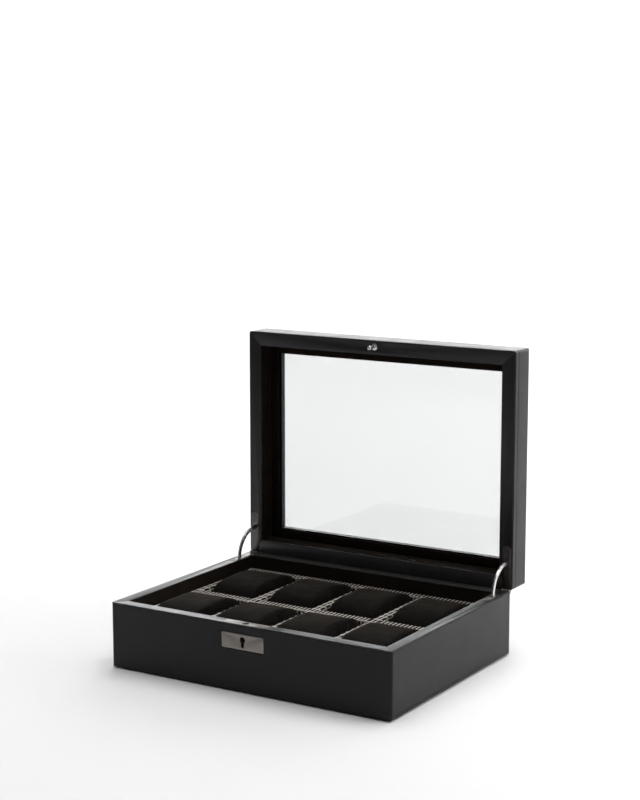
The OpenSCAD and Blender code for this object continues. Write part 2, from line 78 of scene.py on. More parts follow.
PILLOWS = [f"pillow_{row}_{k}" for row in ("rear", "front") for k in (1, 2, 3, 4)]
WALL_SIDES = ("front", "rear", "left", "right")

# corners nearer than this are one corner, in metres
MERGE = 1e-6
# keeps a power or a division away from nothing
TINY = 1e-9
# edges that turn by more than this are rounded
SHARP_TURN = math.radians(28)
# a pillow's form: the higher the power, the flatter its ends or the boxier its cross-section
END_POWER = 26.0
SECTION_POWER = 3.2
# points of a seam round a pillow
SEAM_POINTS = 72
# waves in a metre of a filled pillow's broad and fine unevenness
FILLING_WAVES = 42.0
NAP_WAVES = 160.0
# what sets the unevenness of one pillow off from the next
PILLOW_SHIFT = (3.7, 1.9, 0.0)
# light on the dark side of the room, as a share of full
DARK_ROOM = 0.06
# grey of the paper on the floor
PAPER = (0.86, 0.86, 0.86, 1.0)


def length(name, text, value):
    return FloatProperty(name=name, description=text, default=value, unit="LENGTH", precision=5)


def plain(name, text, value):
    return FloatProperty(name=name, description=text, default=value, min=0.0)


def angle(name, text, value):
    return FloatProperty(name=name, description=text, default=math.radians(value), unit="ROTATION")


def colour(name, text, value):
    return FloatVectorProperty(
        name=name, description=text, default=(*value, 1.0), size=4, subtype="COLOR", min=0.0, max=1.0
    )


class BoxSizes(bpy.types.PropertyGroup):
    """Sizes of the finish."""

    grain: length("Leather grain", "Width of one grain of the leather", 0.9 * MM)
    leather_edge: length("Strip edge", "Rounding of the leather strips' edges", 0.4 * MM)
    hinge_edge: length("Hinge edge", "Rounding of the two strips that meet at the hinges", 0.1 * MM)
    turned_edge: length("Turned edge", "How far those two strips are turned over the edge", 1.1 * MM)
    fabric_edge: length("Fabric edge", "Rounding of the fabric over the dividers' edges", 1.1 * MM)
    link_pitch: length("Link pitch", "Spacing of the woven links along a column", 9.5 * MM)
    link_column: length("Link columns", "Spacing of the columns of links", 3.9 * MM)
    stroke: length("Link line", "Width of the pale threads between the links", 1.2 * MM)
    thread: length("Thread", "Spacing of the fabric's threads", 0.34 * MM)
    lining_edge: length("Lining edge", "Rounding of the lining's edges", 0.35 * MM)
    felt_edge: length("Felt edge", "Rounding of the felt's edges", 0.5 * MM)
    lap_gap: length("Lap gap", "Room between the dividers where they cross, each way", 0.05 * MM)
    metal_edge: length("Metal edge", "Rounding of the lock's and hinges' edges", 0.3 * MM)
    pillow_voxel: length("Pillow mesh", "Size of the voxels that a pillow is remeshed with", 1.9 * MM)
    pillow_slack: length("Pillow slack", "How much smaller a pillow is before it is filled", 1.6 * MM)
    pillow_crown: length("Pillow crown", "How far a filled pillow rises over its solid", 2.0 * MM)
    pillow_cap: length("Pillow swell", "Most that a pillow's points may move as it is filled", 1.1 * MM)
    pillow_seam: length("Pillow seam", "Radius of the seam round a pillow's two end panels", 0.42 * MM)
    seam_inset: length("Seam place", "How far a pillow's seams lie from its ends", 2.6 * MM)
    filling_rise: length("Filling", "Height of the broad unevenness of a filled pillow", 0.45 * MM)
    nap_rise: length("Fine filling", "Height of the fine unevenness of a filled pillow", 0.12 * MM)
    pillow_pressure: plain("Filling pressure", "Pressure inside a pillow while it is filled", 6.0)
    pillow_steps: IntProperty(
        name="Filling steps", description="Frames that the filling takes", default=20, min=2, max=60
    )


class BoxColours(bpy.types.PropertyGroup):
    """Colours of the finish."""

    leather: colour("Leather", "Colour of the leather outside", (0.0050, 0.0048, 0.0052))
    strip: colour("Rim leather", "Colour of the leather strips on the rims", (0.0125, 0.0122, 0.0122))
    # painted light: the two strips at the hinges take the rim leather about three times lighter,
    # standing in for the light on the band below the window
    hinge_strip: colour("Hinge strip", "Colour of the strips at the hinges", (0.036, 0.0345, 0.0335))
    lining: colour("Lining", "Colour of the lining inside", (0.0085, 0.0058, 0.0040))
    suede: colour("Suede", "Colour of the pillows", (0.0040, 0.0031, 0.0023))
    fabric: colour("Fabric", "Ground colour of the fabric on the dividers", (0.0040, 0.0036, 0.0034))
    figure: colour("Figures", "Colour of the woven figures", (0.55, 0.51, 0.46))
    gunmetal: colour("Gunmetal", "Colour of the lock's plates and case", (0.215, 0.195, 0.175))
    leaf: colour("Hinge metal", "Colour of the hinge leaves and their screws", (0.105, 0.098, 0.092))
    bright: colour("Bright metal", "Colour of the stays, pins and striker", (0.62, 0.615, 0.61))
    # painted shade: the barrel's brass is darkened to near black so that the keyhole in front of it
    # reads dark
    brass: colour("Barrel", "Colour of the lock's barrel", (0.10, 0.075, 0.042))
    # painted shade: the boards are near black so that the gaps where they show, as round the lock
    # plate, read dark
    board: colour("Board", "Colour of the wooden boards", (0.024, 0.020, 0.016))
    felt: colour("Felt", "Colour of the felt under the box", (0.010, 0.010, 0.011))
    glass: colour("Glass", "Tint of the glass", (0.72, 0.73, 0.73))


class StageSettings(bpy.types.PropertyGroup):
    """Camera, floor and light."""

    camera_place: FloatVectorProperty(
        name="Camera", description="Where the camera stands", default=(0.8343, -1.3388, 0.4916),
        size=3, subtype="TRANSLATION", unit="LENGTH",
    )
    camera_turn: angle("Turn", "How far the camera stands to the right of the front", 31.71)
    camera_tilt: angle("Tilt", "How far the camera looks down", 9.11)
    focal: plain("Focal length", "Focal length in millimetres on a 36 mm sensor", 81.51)
    overhead: plain("Overhead light", "Power of the light above, in watts", 66.0)
    side: plain("Side light", "Power of the light on the right, in watts", 10.0)
    back: plain("Back light", "Power of the light on the backdrop, in watts", 70.0)
    ambient: plain("Ambient", "Strength of the light from behind", 0.24)


# ---- materials ----


class Graph:
    """Adds nodes to a material, and links whatever input is given as a socket."""

    def __init__(self, material):
        self.tree = material.node_tree
        self.shader = next(n for n in self.tree.nodes if n.type == "BSDF_PRINCIPLED")

    def node(self, kind, inputs=(), **settings):
        made = self.tree.nodes.new(kind)
        for key, value in settings.items():
            setattr(made, key, value)
        for key, value in dict(inputs).items():
            if isinstance(value, bpy.types.NodeSocket):
                self.tree.links.new(value, made.inputs[key])
            else:
                made.inputs[key].default_value = value
        return made

    def math(self, operation, *values):
        inputs = dict(enumerate(values))
        return self.node("ShaderNodeMath", inputs, operation=operation).outputs[0]

    def place(self, scale):
        """Coordinates in metres times a scale, which may differ by axis."""
        source = self.node("ShaderNodeTexCoord").outputs["Object"]
        inputs = {0: source, 1: scale if isinstance(scale, tuple) else (scale,) * 3}
        return self.node("ShaderNodeVectorMath", inputs, operation="MULTIPLY").outputs[0]

    def noise(self, where, scale=1.0, detail=2.0, rough=0.5):
        inputs = {"Vector": where, "Scale": scale, "Detail": detail, "Roughness": rough}
        return self.node("ShaderNodeTexNoise", inputs).outputs["Fac"]

    def cells(self, where):
        """Distance to the nearest edge between cells that are about one unit wide."""
        inputs = {"Vector": where, "Scale": 1.0}
        return self.node("ShaderNodeTexVoronoi", inputs, feature="DISTANCE_TO_EDGE").outputs["Distance"]

    def span(self, value, low, high, to_low=0.0, to_high=1.0, smooth=False):
        inputs = {"Value": value, "From Min": low, "From Max": high}
        inputs.update({"To Min": to_low, "To Max": to_high})
        kind = "SMOOTHSTEP" if smooth else "LINEAR"
        return self.node("ShaderNodeMapRange", inputs, interpolation_type=kind).outputs[0]

    def mix(self, factor, first, second):
        """A mix of two colours, by the colour sockets of the node."""
        inputs = {0: factor, 6: first, 7: second}
        return self.node("ShaderNodeMix", inputs, data_type="RGBA").outputs[2]

    def bump(self, height, strength, distance):
        inputs = {"Height": height, "Strength": strength, "Distance": distance}
        return self.node("ShaderNodeBump", inputs).outputs[0]

    def set(self, **sockets):
        """Sets or links the shader's sockets, named with underscores for spaces."""
        for key, value in sockets.items():
            socket = self.shader.inputs[key.replace("_", " ")]
            if isinstance(value, bpy.types.NodeSocket):
                self.tree.links.new(value, socket)
            else:
                socket.default_value = value


def darker(value, factor):
    return (*(channel * factor for channel in value[:3]), 1.0)


MATERIALS = {}


def finish_named(name, make, tone, **details):
    """One material per name, made when it is first asked for."""
    if name not in MATERIALS:
        material = bpy.data.materials.new(name)
        material.use_nodes = True
        material.diffuse_color = tuple(tone)
        make(Graph(material), tone, **details)
        MATERIALS[name] = material
    return MATERIALS[name]


def leather_nodes(g, tone, roughness, grain, relief, gloss):
    """Fine grained leather: small cells with creases between them, and soft patches of gloss."""
    fine = g.place(1.0 / grain)
    creases = g.span(g.cells(fine), 0.0, 0.22, smooth=True)
    pores = g.noise(fine, 2.6, 3.0, 0.6)
    patches = g.noise(g.place(1.0), 38.0, 3.0, 0.55)
    height = g.math("ADD", g.math("MULTIPLY", creases, 0.7), g.math("MULTIPLY", pores, 0.45))
    g.set(
        Base_Color=g.mix(g.math("MULTIPLY", creases, patches), darker(tone, 0.72), darker(tone, 1.32)),
        Roughness=g.span(g.math("ADD", patches, pores), 0.7, 1.3, roughness - 0.05, roughness + 0.07),
        Normal=g.bump(height, relief, 0.12 * MM),
        Specular_IOR_Level=gloss,
        Specular_Tint=(0.95, 0.93, 1.0, 1.0),
        Sheen_Weight=0.02,
        Sheen_Roughness=0.4,
    )


def fabric_nodes(g, tone, figure, sizes):
    """A pale woven net: columns of long dark links, side by side, on coordinates in metres."""
    uv = g.node("ShaderNodeTexCoord").outputs["UV"]
    axes = g.node("ShaderNodeSeparateXYZ", {0: uv})
    across, along = axes.outputs[0], axes.outputs[1]
    column_place = g.math("ADD", g.math("DIVIDE", across, sizes.link_column), 0.5)
    row_place = g.math("ADD", g.math("DIVIDE", along, sizes.link_pitch), 0.5)
    u = g.math("MULTIPLY", g.math("SUBTRACT", g.math("FRACT", column_place), 0.5), sizes.link_column)
    v = g.math("MULTIPLY", g.math("SUBTRACT", g.math("FRACT", row_place), 0.5), sizes.link_pitch)
    # distance from the middle line of a link, which has round ends
    radius = (sizes.link_column - sizes.stroke) / 2
    run = (sizes.link_pitch - sizes.stroke) / 2 - radius
    past = g.math("MAXIMUM", g.math("SUBTRACT", g.math("ABSOLUTE", v), run), 0.0)
    far = g.math("SQRT", g.math("ADD", g.math("MULTIPLY", past, past), g.math("MULTIPLY", u, u)))
    net = g.span(far, radius - 0.12 * MM, radius + 0.12 * MM, smooth=True)
    turns = 2.0 * math.pi / sizes.thread
    warp = g.math("SINE", g.math("MULTIPLY", along, turns))
    weft = g.math("SINE", g.math("MULTIPLY", across, turns))
    weave = g.span(g.math("MULTIPLY", warp, weft), -1.0, 1.0)
    fuzz = g.noise(g.place(1.0), 900.0, 2.0, 0.6)
    worn = g.math("MULTIPLY", net, g.span(g.math("ADD", weave, fuzz), 0.3, 1.4, 0.7, 1.0))
    ground = g.mix(weave, darker(tone, 0.6), darker(tone, 1.5))
    height = g.math("ADD", g.math("MULTIPLY", weave, 0.5), net)
    g.set(
        Base_Color=g.mix(worn, ground, tuple(figure)),
        Roughness=0.85,
        Normal=g.bump(height, 0.4, 0.1 * MM),
        Specular_IOR_Level=0.08,
        Sheen_Weight=0.03,
        Sheen_Roughness=0.5,
    )


def suede_nodes(g, tone, nap):
    """Short nap that lies in soft patches, with fine fibres."""
    patches = g.noise(g.place(1.0), 46.0, 4.0, 0.6)
    fibres = g.noise(g.place((1.0, 0.55, 1.0)), 2600.0, 3.0, 0.7)
    depth = g.math("ADD", g.math("MULTIPLY", patches, 0.7), g.math("MULTIPLY", fibres, 0.5))
    g.set(
        Base_Color=g.mix(g.span(depth, 0.4, 0.85), darker(tone, 0.62), darker(tone, 1.55)),
        Roughness=0.92,
        Normal=g.bump(depth, 0.45, nap),
        Specular_IOR_Level=0.08,
        Sheen_Weight=0.08,
        Sheen_Roughness=0.32,
        Sheen_Tint=(0.88, 0.72, 0.58, 1.0),
    )


def brushed_nodes(g, tone, roughness, across):
    """Metal brushed along one axis: long fine scratches that change the gloss."""
    streak = tuple(60.0 if axis == across else 5200.0 for axis in range(3))
    scratches = g.noise(g.place(streak), 1.0, 3.0, 0.6)
    broad = g.noise(g.place(1.0), 120.0, 2.0, 0.5)
    g.set(
        Base_Color=g.mix(g.math("MULTIPLY", scratches, broad), darker(tone, 0.82), darker(tone, 1.35)),
        Metallic=1.0,
        Roughness=g.span(scratches, 0.3, 0.7, roughness - 0.06, roughness + 0.1),
        Normal=g.bump(scratches, 0.12, 0.02 * MM),
        Anisotropic=0.2,
    )


def polished_nodes(g, tone, roughness):
    """Polished metal with hairlines and a trace of haze."""
    hairlines = g.noise(g.place((300.0, 4200.0, 4200.0)), 1.0, 2.0, 0.5)
    haze = g.noise(g.place(1.0), 260.0, 3.0, 0.6)
    g.set(
        Base_Color=g.mix(haze, darker(tone, 0.88), darker(tone, 1.12)),
        Metallic=1.0,
        Roughness=g.span(g.math("ADD", haze, hairlines), 0.7, 1.3, roughness * 0.75, roughness * 1.4),
        Normal=g.bump(hairlines, 0.05, 0.01 * MM),
    )


def board_nodes(g, tone):
    """Pressed fibre board: a fine speckle with darker fibres."""
    speckle = g.noise(g.place((900.0, 900.0, 2200.0)), 1.0, 4.0, 0.65)
    g.set(
        Base_Color=g.mix(g.span(speckle, 0.35, 0.65), darker(tone, 0.7), darker(tone, 1.2)),
        Roughness=0.82,
        Normal=g.bump(speckle, 0.3, 0.05 * MM),
    )


def felt_nodes(g, tone):
    """Felt: tangled fibres of two lengths."""
    short, long = g.noise(g.place(1.0), 1400.0, 3.0, 0.7), g.noise(g.place(1.0), 300.0, 3.0)
    tangle = g.math("MULTIPLY", short, long)
    g.set(
        Base_Color=g.mix(g.span(tangle, 0.1, 0.4), darker(tone, 0.6), darker(tone, 1.8)),
        Roughness=0.95,
        Normal=g.bump(tangle, 0.6, 0.2 * MM),
        Specular_IOR_Level=0.1,
        Sheen_Weight=0.2,
    )


def glass_nodes(g, tint):
    """Clear float glass with the faintest ripple."""
    ripple = g.noise(g.place(1.0), 9.0, 1.0, 0.4)
    g.set(
        Base_Color=tuple(tint),
        Roughness=0.0,
        IOR=1.45,
        Transmission_Weight=1.0,
        Normal=g.bump(ripple, 0.02, 0.05 * MM),
    )


def floor_nodes(g, tone):
    """Matt paper sweep with a trace of tooth."""
    tooth = g.noise(g.place(1.0), 300.0, 3.0, 0.6)
    g.set(
        Base_Color=g.mix(tooth, darker(tone, 0.99), tuple(tone)),
        Roughness=0.9,
        Specular_IOR_Level=0.1,
        Normal=g.bump(tooth, 0.03, 0.05 * MM),
    )


def scene_groups():
    scene = bpy.context.scene
    return scene.watch_box_sizes, scene.watch_box_colours, scene.watch_box_stage


def leather():
    sizes, colours, _ = scene_groups()
    tone, grain = colours.leather, sizes.grain
    return finish_named(
        "box_leather", leather_nodes, tone, roughness=0.34, grain=grain, relief=0.2, gloss=0.22
    )


def strip_leather(name="rim_leather", key="strip"):
    """Leather of the strips on the rims, a little finer and glossier than the box's."""
    sizes, colours, _ = scene_groups()
    tone, grain = getattr(colours, key), sizes.grain * 0.8
    return finish_named(name, leather_nodes, tone, roughness=0.32, grain=grain, relief=0.18, gloss=0.32)


def lining():
    return finish_named("lining", suede_nodes, scene_groups()[1].lining, nap=0.10 * MM)


def gunmetal():
    return finish_named("gunmetal", brushed_nodes, scene_groups()[1].gunmetal, roughness=0.36, across=0)


def hinge_metal():
    return finish_named("hinge_metal", brushed_nodes, scene_groups()[1].leaf, roughness=0.36, across=1)


def bright_metal():
    return finish_named("bright_metal", polished_nodes, scene_groups()[1].bright, roughness=0.26)


# ---- meshes ----


def dress(node, material):
    """Gives a node of the frame its finish."""
    materials = frame["nodes"][node].data.materials
    materials.clear()
    materials.append(material)


def link_object(name, data):
    """A new object in the scene."""
    made = bpy.data.objects.new(name, data)
    bpy.context.scene.collection.objects.link(made)
    return made


def shade_smooth(mesh):
    mesh.polygons.foreach_set("use_smooth", [True] * len(mesh.polygons))


def place_piece(mesh, material, body, node, smooth_angle=35.0):
    """Puts a mesh in the scene in place of a node of the frame, and lets it ride on its body."""
    piece = link_object(mesh.name, mesh)
    mesh.materials.append(material)
    shade_smooth(mesh)
    mesh.set_sharp_from_angle(angle=math.radians(smooth_angle))
    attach(piece, body)
    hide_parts(node)


def softened(node, material, radius, steps=2, turned=None):
    """A copy of a node of the frame with its sharp edges rounded, which stands for the node.

    turned is (axis, side, length): how far the outermost edge on that side is turned over.
    """
    source = frame["nodes"][node]
    mesh = source.data.copy()
    mesh.name = node + "_finish"
    mesh.materials.clear()
    form = bmesh.new()
    form.from_mesh(mesh)
    bmesh.ops.remove_doubles(form, verts=form.verts, dist=MERGE)
    bmesh.ops.dissolve_limit(form, angle_limit=math.radians(0.5), verts=form.verts, edges=form.edges)
    if turned:
        axis, side, reach = turned
        outermost = max(v.co[axis] * side for v in form.verts)
        for v in form.verts:
            if v.co[axis] * side > outermost - MERGE:
                v.co[axis] += side * reach
    if radius:
        edges = [
            e for e in form.edges if len(e.link_faces) == 2 and e.calc_face_angle(0.0) > SHARP_TURN
        ]
        bmesh.ops.bevel(
            form, geom=edges, offset=radius, segments=steps, profile=0.5, affect="EDGES",
            clamp_overlap=True,
        )
        bmesh.ops.remove_doubles(form, verts=form.verts, dist=1e-7)
    bmesh.ops.recalc_face_normals(form, faces=form.faces)
    form.to_mesh(mesh)
    form.free()
    if "custom_normal" in mesh.attributes:
        mesh.attributes.remove(mesh.attributes["custom_normal"])
    place_piece(mesh, material, source["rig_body"], node)


def wrapped_bar(node, along, edge, notches, from_below, material):
    """Fabric drawn over a bar of the tray, round its upper edges. The mesh has coordinates in metres.

    along is the bar's axis, 0 or 1. A notch is (from, to, height), cut from above or from below.
    The coordinates run along X and Y on top, whichever way the bar lies, as one cloth would.
    """
    low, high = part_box(node)
    across = 1 - along
    half = (high[across] - low[across]) / 2
    middle = (high[across] + low[across]) / 2
    arc = [math.radians(a) for a in (0, 22.5, 45, 67.5, 90)]
    left = [(-half + edge - edge * math.cos(a), high[2] - edge + edge * math.sin(a)) for a in arc]
    right = [(-y, z) for y, z in reversed(left)]
    section = [(-half, low[2]), *left, (0.0, high[2]), *right, (half, low[2])]
    run = [0.0]
    for (y0, z0), (y1, z1) in zip(section, section[1:]):
        run.append(run[-1] + math.hypot(y1 - y0, z1 - z0))
    run = [r - run[-1] / 2 for r in run]

    def cut(points, height):
        if height is None:
            return points
        return [(y, max(z, height) if from_below else min(z, height)) for y, z in points]

    stations = [(low[along], None)]
    for start, stop, height in notches:
        stations += [(start, None), (start, height), (stop, height), (stop, None)]
    stations.append((high[along], None))

    form = bmesh.new()
    layer = form.loops.layers.uv.new("fabric")
    rings = []
    for place, height in stations:
        ring = []
        for (y, z), r in zip(cut(section, height), run):
            spot = [0.0, 0.0, z]
            spot[along], spot[across] = place, middle + y
            ring.append((form.verts.new(spot), (place, r) if along == 0 else (r, place)))
        rings.append(ring)
    count = len(section)
    flip = along == 1
    for a, b in zip(rings, rings[1:]):
        for k in range(count):
            n = (k + 1) % count
            corners = [a[k], b[k], b[n], a[n]]
            add_face(form, layer, corners[::-1] if flip else corners)
    for ring, turned in ((rings[0], flip), (rings[-1], not flip)):
        corners = [(v, (v.co[across], v.co[2]) if along else (v.co[2], v.co[across])) for v, _ in ring]
        add_face(form, layer, corners[::-1] if turned else corners)
    bmesh.ops.remove_doubles(form, verts=form.verts, dist=MERGE)
    bmesh.ops.dissolve_degenerate(form, edges=form.edges, dist=MERGE)
    bmesh.ops.recalc_face_normals(form, faces=form.faces)
    mesh = bpy.data.meshes.new(node + "_fabric")
    form.to_mesh(mesh)
    form.free()
    place_piece(mesh, material, "base", node, 50.0)


def add_face(form, layer, corners):
    """Adds a face from (vertex, coordinates) pairs."""
    made = form.faces.new([v for v, _ in corners])
    for loop, (_, uv) in zip(made.loops, corners):
        loop[layer].uv = uv


def superellipsoid(centre, half, end_power, section_power):
    """A closed soft block: a rounded cross-section, drawn out along X to nearly flat ends."""
    form = bmesh.new()
    bmesh.ops.create_cube(form, size=2.0)
    bmesh.ops.subdivide_edges(form, edges=form.edges, cuts=25, use_grid_fill=True)
    for v in form.verts:
        x, y, z = (abs(c) + TINY for c in v.co)
        flat = (y**section_power + z**section_power) ** (1.0 / section_power)
        reach = (x**end_power + flat**end_power) ** (-1.0 / end_power)
        v.co = Vector(centre) + Vector([c * reach * h for c, h in zip(v.co, half)])
    mesh = bpy.data.meshes.new("pillow_blank")
    form.to_mesh(mesh)
    form.free()
    return mesh


def coordinates(mesh):
    co = np.empty(len(mesh.vertices) * 3, np.float32)
    mesh.vertices.foreach_get("co", co)
    return co.reshape(-1, 3)


def fill_pillows(pillows, sizes):
    """Fills every pillow at once with the cloth solver, and keeps the result in the meshes."""
    scene = bpy.context.scene
    for pillow in pillows:
        cloth = pillow.modifiers.new("Filling", "CLOTH")
        cloth.settings.quality = 4
        cloth.settings.use_pressure = True
        cloth.settings.uniform_pressure_force = sizes.pillow_pressure
        cloth.settings.effector_weights.gravity = 0.0
        cloth.point_cache.frame_start = 1
        cloth.point_cache.frame_end = sizes.pillow_steps
    for step in range(1, sizes.pillow_steps + 1):
        scene.frame_set(step)
    graph = bpy.context.evaluated_depsgraph_get()
    for pillow in pillows:
        start = coordinates(pillow.data)
        swollen = coordinates(pillow.evaluated_get(graph).to_mesh())
        move = swollen - start
        reach = np.linalg.norm(move, axis=1, keepdims=True)
        move *= np.minimum(1.0, sizes.pillow_cap / np.maximum(reach, TINY))
        pillow.data.vertices.foreach_set("co", (start + move).ravel())
        pillow.evaluated_get(graph).to_mesh_clear()
        pillow.modifiers.remove(pillow.modifiers["Filling"])
        pillow.data.update()
    scene.frame_set(1)


def bake_modifiers(piece):
    """Applies whatever modifiers the piece has."""
    graph = bpy.context.evaluated_depsgraph_get()
    mesh = bpy.data.meshes.new_from_object(piece.evaluated_get(graph))
    old = piece.data
    piece.modifiers.clear()
    piece.data = mesh
    bpy.data.meshes.remove(old)


def seam_tube(form, path, radius, sides=6):
    """A closed round seam along a path, added to a mesh that is being made."""
    rings = []
    count = len(path)
    for k, spot in enumerate(path):
        ahead = (path[(k + 1) % count] - path[k - 1]).normalized()
        out = ahead.cross(Vector((1.0, 0.0, 0.0))).normalized()
        up = ahead.cross(out)
        ring = []
        for s in range(sides):
            turn = 2.0 * math.pi * s / sides
            ring.append(form.verts.new(spot + radius * (out * math.cos(turn) + up * math.sin(turn))))
        rings.append(ring)
    for k in range(count):
        a, b = rings[k], rings[(k + 1) % count]
        for s in range(sides):
            n = (s + 1) % sides
            form.faces.new([a[s], a[n], b[n], b[s]])


# ---- pieces ----


class LeatherOperator(bpy.types.Operator):
    """Covers the base and the lid with leather, and lays the mitred strips on both rims"""

    bl_idname = "watchbox.leather"
    bl_label = "Leather"

    def execute(self, context):
        sizes = context.scene.watch_box_sizes
        for node in ("base_cover", "lid_cover"):
            softened(node, leather(), 0.0)
        for part in ("base", "lid"):
            for side in ("front", "left", "right"):
                softened(f"{part}_rim_{side}", strip_leather(), sizes.leather_edge, 3)
        # at the hinges the strips are turned over the edges, which lie close together in the open box
        for part, axis, side in (("base", 1, 1), ("lid", 2, -1)):
            over = (axis, side, sizes.turned_edge)
            # the hinge strips' lighter leather is painted light, a lit copy of the rim leather
            finish = strip_leather("hinge_strip_leather", "hinge_strip")
            softened(f"{part}_rim_rear", finish, sizes.hinge_edge, 2, over)
        return {"FINISHED"}


class BoardsOperator(bpy.types.Operator):
    """Finishes the boards under the leather and the felt under the box"""

    bl_idname = "watchbox.boards"
    bl_label = "Boards and felt"

    def execute(self, context):
        colours = context.scene.watch_box_colours
        # the boards' near black colour is painted shade for the gaps where they show
        board = finish_named("board", board_nodes, colours.board)
        for part in ("base", "lid"):
            for side in WALL_SIDES:
                dress(f"{part}_{side}_wall", board)
        dress("base_board", board)
        dress("lid_top_frame", board)
        felt = finish_named("felt", felt_nodes, colours.felt)
        softened("base_felt", felt, context.scene.watch_box_sizes.felt_edge)
        return {"FINISHED"}


class LiningOperator(bpy.types.Operator):
    """Lines the inside of the base and the lid, the tray's floor and the frame behind the glass"""

    bl_idname = "watchbox.lining"
    bl_label = "Lining"

    def execute(self, context):
        for node in ("base_liner", "lid_liner", "tray_floor", "glass_retainer"):
            softened(node, lining(), context.scene.watch_box_sizes.lining_edge)
        return {"FINISHED"}


class TrayOperator(bpy.types.Operator):
    """Draws the patterned fabric over the tray's rails and dividers"""

    bl_idname = "watchbox.tray"
    bl_label = "Tray fabric"

    def execute(self, context):
        sizes, colours = context.scene.watch_box_sizes, context.scene.watch_box_colours
        fabric = finish_named(
            "figured_fabric", fabric_nodes, colours.fabric, figure=colours.figure, sizes=sizes
        )
        lengthwise = ["divider_left", "divider_middle", "divider_right"]
        low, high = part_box("divider_cross")
        lap = (low[2] + high[2]) / 2
        gap = sizes.lap_gap
        spans = [(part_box(n)[0][0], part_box(n)[1][0], lap - gap) for n in lengthwise]
        edge = sizes.fabric_edge
        wrapped_bar("divider_cross", 0, edge, spans, False, fabric)
        for node in lengthwise:
            wrapped_bar(node, 1, edge, [(low[1], high[1], lap + gap)], True, fabric)
        for side, along in (("front", 0), ("rear", 0), ("left", 1), ("right", 1)):
            wrapped_bar(f"tray_{side}_rail", along, edge, [], False, fabric)
        return {"FINISHED"}


class PillowsOperator(bpy.types.Operator):
    """Fills the eight suede pillows and sews their end panels"""

    bl_idname = "watchbox.pillows"
    bl_label = "Pillows"

    def execute(self, context):
        sizes, colours = context.scene.watch_box_sizes, context.scene.watch_box_colours
        suede = finish_named("suede", suede_nodes, colours.suede, nap=0.16 * MM)
        pillows = [self.blank(node, suede, sizes) for node in PILLOWS]
        fill_pillows(pillows, sizes)
        for number, (node, pillow) in enumerate(zip(PILLOWS, pillows)):
            smooth = pillow.modifiers.new("Even", "SMOOTH")
            smooth.factor, smooth.iterations = 0.4, 1
            pillow.modifiers.new("Fine", "SUBSURF").levels = 1
            bake_modifiers(pillow)
            self.crease(pillow, number, sizes)
            self.sew(pillow, node, sizes)
            shade_smooth(pillow.data)
            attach(pillow, node)
            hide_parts(node)
        return {"FINISHED"}

    def blank(self, node, suede, sizes):
        """The pillow before it is filled, a little smaller than the room that it has."""
        low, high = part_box(node)
        high.z += sizes.pillow_crown
        centre = (low + high) / 2
        slack = sizes.pillow_slack
        half = (high - low - Vector((slack, slack / 2, slack))) / 2
        pillow = link_object(node + "_suede", superellipsoid(centre, half, END_POWER, SECTION_POWER))
        pillow.data.materials.append(suede)
        remesh = pillow.modifiers.new("Even", "REMESH")
        remesh.mode, remesh.voxel_size = "VOXEL", sizes.pillow_voxel
        bake_modifiers(pillow)
        return pillow

    def crease(self, pillow, number, sizes):
        """Soft unevenness of the filling under the suede, different in each pillow."""
        shift = Vector([number * step for step in PILLOW_SHIFT])
        co = coordinates(pillow.data)
        normals = np.empty(co.size, np.float32)
        pillow.data.vertices.foreach_get("normal", normals)
        rise = [
            sizes.filling_rise * noise.noise(spot * FILLING_WAVES + shift)
            + sizes.nap_rise * noise.noise(spot * NAP_WAVES + shift)
            for spot in map(Vector, co.tolist())
        ]
        co += normals.reshape(-1, 3) * np.array(rise, np.float32)[:, None]
        pillow.data.vertices.foreach_set("co", co.ravel())
        pillow.data.update()

    def sew(self, pillow, node, sizes):
        """Seams round the two end panels, laid on the filled pillow."""
        tree = BVHTree.FromObject(pillow, bpy.context.evaluated_depsgraph_get())
        low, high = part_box(node)
        centre = (low + high) / 2
        form = bmesh.new()
        form.from_mesh(pillow.data)
        for side in (-1.0, 1.0):
            reach = (high.x - low.x) / 2 - sizes.seam_inset
            start = centre + Vector((side * reach, 0.0, 0.0))
            path = []
            for k in range(SEAM_POINTS):
                turn = 2.0 * math.pi * k / SEAM_POINTS
                spot = tree.ray_cast(start, Vector((0.0, math.cos(turn), math.sin(turn))))[0]
                if spot is None:
                    raise RuntimeError(f"no edge found for a seam of {node}")
                path.append(spot)
            seam_tube(form, path, sizes.pillow_seam)
        form.to_mesh(pillow.data)
        form.free()


class LockOperator(bpy.types.Operator):
    """Finishes the lock's case, plates and barrel, and the striker in the lid"""

    bl_idname = "watchbox.lock"
    bl_label = "Lock"

    def execute(self, context):
        sizes, colours = context.scene.watch_box_sizes, context.scene.watch_box_colours
        steel = finish_named("lock_steel", brushed_nodes, colours.gunmetal, roughness=0.5, across=2)
        # the barrel's dark brass is painted shade inside the keyhole
        brass = finish_named("lock_brass", polished_nodes, colours.brass, roughness=0.3)
        dress("lock_case", steel)
        dress("lock_barrel", brass)
        softened("lock_plate", gunmetal(), sizes.metal_edge)
        softened("lock_top_plate", gunmetal(), sizes.metal_edge * 0.5)
        softened("lid_stud", bright_metal(), sizes.metal_edge * 0.8)
        return {"FINISHED"}


class HingesOperator(bpy.types.Operator):
    """Finishes the hinge leaves, pins and screws, and the curved stays"""

    bl_idname = "watchbox.hinges"
    bl_label = "Hinges"

    def execute(self, context):
        edge = context.scene.watch_box_sizes.metal_edge
        for side in ("left", "right"):
            for part in ("base", "lid"):
                softened(f"hinge_{side}_{part}_leaf", hinge_metal(), edge * 0.5)
            softened(f"stay_{side}", bright_metal(), edge * 1.6, 3)
        softened("hinge_pins", bright_metal(), edge * 0.4)
        for node in ("base_hinge_screws", "lid_hinge_screws"):
            softened(node, hinge_metal(), edge * 0.4)
        return {"FINISHED"}


